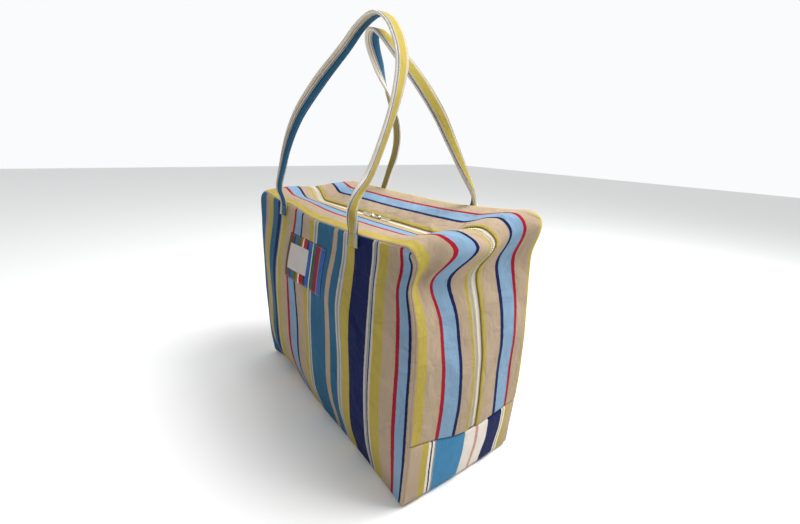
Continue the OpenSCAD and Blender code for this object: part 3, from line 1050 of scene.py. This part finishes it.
# shares of the half span, of the depth and of the height, from the left end to the right end
FRONT_ROUTE = [(-1, 1, 0), (-1.01, 1, 0.05), (-1.02, 1.003, 0.10), (-1.05, 0.91, 0.22)]
FRONT_ROUTE += [(-1.05, 0.84, 0.32), (-1.01, 0.74, 0.44), (-0.96, 0.59, 0.56)]
FRONT_ROUTE += [(-0.83, 0.33, 0.72), (-0.54, 0.11, 0.87), (-0.29, 0.03, 0.96), (0.02, 0, 1)]
FRONT_ROUTE += [(0.28, 0.01, 0.965), (0.54, 0.07, 0.88), (0.80, 0.19, 0.75)]
FRONT_ROUTE += [(0.92, 0.34, 0.60), (0.94, 0.51, 0.43), (0.95, 0.72, 0.26)]
FRONT_ROUTE += [(0.98, 0.925, 0.16), (1, 1.003, 0.10), (1, 1, 0.05), (1, 1, 0)]
BACK_ROUTE = [(-1, 1, 0), (-1, 1, 0.05), (-0.97, 1.003, 0.10), (-0.84, 1.0, 0.22)]
BACK_ROUTE += [(-0.72, 1.0, 0.33), (-0.66, 0.99, 0.44), (-0.60, 0.90, 0.56)]
BACK_ROUTE += [(-0.52, 0.68, 0.70), (-0.38, 0.38, 0.85), (-0.20, 0.12, 0.96), (0, 0, 1)]
BACK_ROUTE += [(0.16, 0.03, 0.97), (0.38, 0.14, 0.86), (0.62, 0.28, 0.72)]
BACK_ROUTE += [(0.82, 0.42, 0.57), (0.94, 0.56, 0.42), (1.02, 0.70, 0.29)]
BACK_ROUTE += [(1.02, 0.92, 0.17), (1.01, 1.003, 0.10), (1, 1, 0.05), (1, 1, 0)]
# half the strap's section, in mm: the face, its sewn edge and the fold
FACE = [(-10.4, 2.25), (-9.8, 2.3), (-9.2, 1.95), (-8.5, 2.4), (-5, 2.5), (0, 2.4)]
FACE += [(5, 2.5), (8.5, 2.4), (9.2, 1.95), (9.8, 2.3), (10.4, 2.25), (11.5, 1.5)]
SECTION = FACE + [(12, 0)] + [(-t, -h) for t, h in FACE] + [(-12, 0), FACE[0]]
section = np.array(SECTION) * MM
girth = np.append(0, np.cumsum(np.linalg.norm(np.diff(section, axis=0), axis=1)))
girth *= 60 * MM / girth[-1]


# how far the strap has turned at a share of its height, in degrees, up each leg
TURNS = {
    "front_handle": (
        [(0, 0), (0.08, 5), (0.2, 22), (0.37, 38), (0.6, 68), (1, 90)],
        [(0, 0), (0.03, 10), (0.10, 75), (0.2, 112), (0.45, 118), (0.7, 105), (1, 90)],
    ),
    "back_handle": (
        [(0, 180), (0.1, 186), (0.3, 190), (0.55, 180), (0.72, 150), (0.85, 110), (1, 90)],
        [(0, 180), (0.06, 170), (0.15, 125), (0.35, 80), (0.6, 60), (0.8, 70), (1, 90)],
    ),
}
# the strap is squeezed narrower and rounder where it twists, low on each leg
SLIM = [(0, 0.8), (0.06, 0.62), (0.15, 0.58), (0.3, 0.68), (0.5, 0.85), (0.75, 1), (1, 1)]
PLUMP = [(0, 1.0), (0.08, 1.45), (0.2, 1.4), (0.5, 1.1), (0.75, 1), (1, 1)]


def strap_line(name, route, side):
    """The strap's centre line, width and face direction, and its squeeze, by distance."""
    low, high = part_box(name)
    start_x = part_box(name + "_left_end")
    span = -(start_x[0].x + start_x[1].x) / 2
    foot_y = side * (half_d + 2.9 * MM)
    rise = high.z - low.z - 2.5 * MM
    knots = np.array(route) * (span, foot_y, rise) + (0, 0, low.z)
    padded = np.vstack((knots[0], knots, knots[-1]))
    dots = []
    for a, b, c, d in zip(padded, padded[1:], padded[2:], padded[3:]):
        for t in np.linspace(0, 1, 12, endpoint=False):
            dots.append(
                0.5
                * (
                    2 * b
                    + (c - a) * t
                    + (2 * a - 5 * b + 4 * c - d) * t * t
                    + (3 * b - a - 3 * c + d) * t**3
                )
            )
    dots = np.array([*dots, knots[-1]])
    run = np.append(0, np.cumsum(np.linalg.norm(np.diff(dots, axis=0), axis=1)))
    s = np.linspace(0, run[-1], 400)
    line = np.column_stack([np.interp(s, run, dots[:, k]) for k in range(3)])
    for _ in range(3):
        line[1:-1] = (line[:-2] + 2 * line[1:-1] + line[2:]) / 4
    # the panel under the feet has sunk in a little, and the strap follows it
    share = np.clip((line[:, 2] - low.z) / rise, 0, 1)
    feet = on_panel(np.array([-span, span]), np.array([low.z, low.z]), 2.7 * MM, side)
    near_foot = np.where(s < s[-1] / 2, feet[0, 1], feet[1, 1]) - foot_y
    line[:, 1] += near_foot * (1 - ramp(share, 0.0, 0.14))
    tangent = np.gradient(line, s, axis=0)
    tangent[0], tangent[-1] = (0, 0, 1), (0, 0, -1)
    tangent /= np.linalg.norm(tangent, axis=1)[:, None]
    peak = s[np.argmax(line[:, 2])]
    left, right = (np.interp(share, *np.array(t, float).T) for t in TURNS[name])
    angle = np.radians(np.where(s < peak, left, right))
    for _ in range(12):
        angle[1:-1] = (angle[:-2] + 2 * angle[1:-1] + angle[2:]) / 4
    flat = np.column_stack((np.cos(angle), np.sin(angle), 0 * angle))
    wide = flat - tangent * np.sum(flat * tangent, axis=1)[:, None]
    wide /= np.linalg.norm(wide, axis=1)[:, None]
    face = np.cross(tangent, wide)
    return {
        "s": s,
        "line": line,
        "wide": wide,
        "face": face,
        "slim": np.interp(share, *np.array(SLIM).T),
        "plump": np.interp(share, *np.array(PLUMP).T),
        "long": s[-1],
    }


def on_strap(strap, s, t, h):
    """A point of the strap: distance along it, across it and above its middle."""
    line, wide, face = (
        np.column_stack([np.interp(s, strap["s"], strap[k][:, i]) for i in range(3)])
        for k in ("line", "wide", "face")
    )
    t = t * np.interp(s, strap["s"], strap["slim"])
    h = h * np.interp(s, strap["s"], strap["plump"])
    return line + wide * t[:, None] + face * h[:, None]


straps = {
    "front_handle": strap_line("front_handle", FRONT_ROUTE, -1),
    "back_handle": strap_line("back_handle", BACK_ROUTE, 1),
}
print({name: round(float(s["long"]), 3) for name, s in straps.items()}, "m of strap")

# %% [markdown]
# ## Handle straps
# The section's points go round the strap, and the grid's first and last columns meet, so merging
# them closes the tube.


# %% Handle straps
def tube(along, place):
    """A grid wrapped round the strap's section, closed along its length and at both ends."""
    columns = np.arange(len(section)).astype(float)
    bm = lay_out(
        columns,
        along,
        lambda u, v: place(v, section[u.astype(int), 0], section[u.astype(int), 1]),
        uv_of=lambda u, v: np.column_stack((girth[u.astype(int)], v)),
        # painted highlight along the strap's folded edges
        roll_light_of=lambda u, v: bump(np.abs(section[u.astype(int), 0]) - 0.0115, 0.0012),
    )
    bmesh.ops.remove_doubles(bm, verts=bm.verts, dist=2e-5)
    bmesh.ops.holes_fill(bm, edges=[e for e in bm.edges if e.is_boundary])
    bmesh.ops.recalc_face_normals(bm, faces=bm.faces[:])
    return bm


def swings(piece):
    """Bakes the piece's world place into its mesh."""
    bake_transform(piece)


for name, side in (("front_handle", -1), ("back_handle", 1)):
    strap = straps[name]
    bm = tube(
        np.linspace(0, strap["long"], int(strap["long"] / (4 * MM))),
        lambda s, t, h: on_strap(strap, s, t, h),
    )
    handle = keep(bm, f"{name}_strap", strap_canvas, None, [name])
    swings(handle)
    print(handle.name, len(handle.data.polygons), "faces")

# %% [markdown]
# ## Sewn ends
# The last 18 mm of each strap lies flat on the panel and is stitched down. It is the same tube,
# pressed a little thinner towards its turned-under end, and every point takes its depth from the
# sagged panel under it.

# %% Sewn ends of the straps
# which face of the strap looks outwards at each end: 1 the yellow one, -1 the blue one
OUTWARD = {
    "front_handle_left_end": (-1, -1),
    "front_handle_right_end": (-1, 1),
    "back_handle_left_end": (1, -1),
    "back_handle_right_end": (1, 1),
}


def on_end(name, s, t, h):
    """A point of a sewn end: up from its lower edge, across it and out from its middle."""
    side, _ = OUTWARD[name]
    low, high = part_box(name)
    slim = np.interp(s, [0, high.z - low.z], [1.0, SLIM[0][1]])
    return on_panel((low.x + high.x) / 2 - side * t * slim, low.z + s, h, side)


for name, (side, face) in OUTWARD.items():
    bm = tube(
        np.array([0, 0.6, 1.5, 3, 5, 7.5, 10, 12.5, 15, 17, 18.4]) * MM,
        lambda s, t, h: on_end(
            name,
            s,
            t,
            2.7 * MM + h * face * np.interp(s / MM, [0, 0.6, 1.5, 3], [0.3, 0.7, 0.92, 1]),
        ),
    )
    end = keep(bm, f"{name}_strap", strap_canvas, "bag", [name])
    print(end.name, [round(v, 4) for v in end.bound_box[0]])

# %% [markdown]
# ## Label
# The label is a soft woven satin patch with its own narrow bright stripes and a plain pale block,
# sewn on near the top of the front panel. The block is left plain. Its stripes are a colour ramp,
# and the block is a mask that tests how far each point is from the block's middle.

# %% Label
LABEL_STRIPES = [(5, "dark"), (15, "brown"), (4, "navy"), (8, "cobalt"), (14, "olive")]
LABEL_STRIPES += [(5, "orange"), (4, "cream"), (13, "red"), (5, "dark"), (14, "cobalt")]
LABEL_STRIPES += [(3, "cream"), (9, "green"), (16, "plum"), (3, "orange"), (16, "cobalt")]
label_cloth = woven("woven_satin_label", LABEL_STRIPES, thread=0.7, depth=0.2, roughness=0.6)
BLOCK_MIDDLE, BLOCK_HALF = (43 * MM, 39 * MM, 0), (32 * MM, 21.5 * MM)
tree = label_cloth.node_tree
shader = tree.nodes["Principled BSDF"]
laid = add(tree, "ShaderNodeUVMap", uv_map="cloth").outputs["UV"]
away = add(tree, "ShaderNodeVectorMath", {0: laid, 1: BLOCK_MIDDLE}, operation="SUBTRACT")
away = add(tree, "ShaderNodeVectorMath", {0: away.outputs[0]}, operation="ABSOLUTE")
sides = add(tree, "ShaderNodeSeparateXYZ", {0: away.outputs[0]})
in_x = maths(tree, "LESS_THAN", sides.outputs["X"], BLOCK_HALF[0])
in_y = maths(tree, "LESS_THAN", sides.outputs["Y"], BLOCK_HALF[1])
striped = shader.inputs["Base Color"].links[0].from_socket
inside = maths(tree, "MULTIPLY", in_x, in_y)
feed(tree, shader, {"Base Color": mixed(tree, inside, striped, linear("#BEB8B3"))})

low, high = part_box("label")
label_across = np.linspace(0, high.x - low.x, 47)
label_up = np.linspace(0, high.z - low.z, 28)


def label_lift(u, v):
    """The label's edge is pulled down on to the panel by its stitches."""
    edge = np.minimum(np.minimum(u, label_across[-1] - u), np.minimum(v, label_up[-1] - v))
    return np.interp(edge / MM, [0, 1.5, 3, 6], [0.5, 0.55, 0.95, 1.15]) * MM


bm = lay_out(
    label_across,
    label_up,
    lambda u, v: on_panel(low.x + u, low.z + v, label_lift(u, v), -1),
)
face_out(bm)
label = keep(bm, "label_patch", label_cloth, "bag", ["label"], 0.5 * MM)
print("label", [round(v, 3) for v in (high.x - low.x, high.z - low.z)], "m")

# %% [markdown]
# ## Stitching
# Every seam that shows is sewn with a thick sand-coloured polyester thread. One stitch is a long
# low bead with its ends sunk in the cloth. It is laid out along flat rows beside each edge and bent
# on to the piece with the same function as the cloth under it, so it stays on the surface.

# %% Stitches
thread = moulded("spun_polyester_thread", "#B3A988", "#9C9170", 0.7, 0.0, 2600.0, 0.06)


def sewn(name, rows, place, pitch=4.4 * MM, long=3.4 * MM):
    """Rows of stitches from (along, across) to (along, across), on a surface given by place."""
    stitch = bmesh.new()
    bmesh.ops.create_icosphere(stitch, subdivisions=1, radius=1)
    bmesh.ops.scale(stitch, vec=(long / 2, 0.42 * MM, 0.34 * MM), verts=stitch.verts)
    spots = []
    for (a0, c0), (a1, c1) in rows:
        gap = math.hypot(a1 - a0, c1 - c0)
        count = max(1, int(gap / pitch))
        turn = math.atan2(c1 - c0, a1 - a0)
        for k in range(count):
            t = (k + 0.5) / count
            spots.append((a0 + (a1 - a0) * t, c0 + (c1 - c0) * t, turn))
    bm, flat = repeat(stitch, spots)
    bend_to(bm, place(flat[:, 0], flat[:, 1], flat[:, 2]))
    made = keep(bm, name, thread, body=None)
    print(name, len(spots), "stitches")
    return made


long = gusset_path["long"]
for side, name in HALVES:
    made = sewn(
        f"{name}_zip_stitching",
        [((8 * MM, fold_y + 3 * MM), (long - 8 * MM, fold_y + 3 * MM))],
        lambda s, y, h: settle(wrap(gusset_path, s, side * y, h + 0.1 * MM)),
    )
    opens(made)
for name, side in (("front_handle", -1), ("back_handle", 1)):
    strap = straps[name]
    for face, word in ((1, "yellow"), (-1, "blue")):
        made = sewn(
            f"{name}_{word}_stitching",
            [((2 * MM, row), (strap["long"] - 2 * MM, row)) for row in (-9.2 * MM, 9.2 * MM)],
            lambda s, t, h: on_strap(strap, s, t, face * (h + 2.0 * MM)),
        )
        swings(made)
for name, (side, face) in OUTWARD.items():
    box_rows = [((3.5, -9), (16, -9)), ((16, -9), (16, 9)), ((16, 9), (3.5, 9))]
    box_rows += [((3.5, 9), (3.5, -9)), ((3.5, -9), (16, 9)), ((3.5, 9), (16, -9))]
    made = sewn(
        f"{name}_stitching",
        [((a * MM, b * MM), (c * MM, d * MM)) for (a, b), (c, d) in box_rows],
        lambda s, t, h: on_end(name, s, t, h + 5.0 * MM),
        3.6 * MM,
        2.8 * MM,
    )
    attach(made, "bag")
low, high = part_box("label")
w, h = high.x - low.x, high.z - low.z
e = 2.2 * MM
corners = [(e, e), (w - e, e), (w - e, h - e), (e, h - e), (e, e)]
made = sewn(
    "label_stitching",
    list(zip(corners, corners[1:])),
    lambda u, v, lift: on_panel(low.x + u, low.z + v, lift + 0.75 * MM, -1),
    3.4 * MM,
    2.5 * MM,
)
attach(made, "bag")

# %% [markdown]
# ## Seam binding
# Inside, the raw edges of the seams are bound with a folded twill tape. It only shows when the bag
# is open. It stands up from the seam, so it is a narrow strip along the outline, set in from the
# cloth.

# %% Seam binding
twill = woven("cotton_twill_binding", [(4, "beige"), (4, "linen")], thread=1.2, crumple=0.3)
bind_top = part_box("front_seam_binding")[1].z
bind_path = rounded_path(
    [(-half_w, bind_top), (-half_w, 0), (half_w, 0), (half_w, bind_top)], BOTTOM_R, -1
)
for side, name in HALVES:
    bm = lay_out(
        np.linspace(0, 8 * MM, 5),
        np.linspace(0, bind_path["long"], 240),
        lambda u, v: settle(wrap(bind_path, v, side * (half_d - 3.2 * MM), -2.8 * MM - u)),
    )
    face_out(bm)
    binding = keep(
        bm,
        f"{name}_binding",
        twill,
        stands_for=[f"{name}_seam_binding"],
        thick=1.6 * MM,
    )
    print(binding.name, round(bind_path["long"], 3), "m")
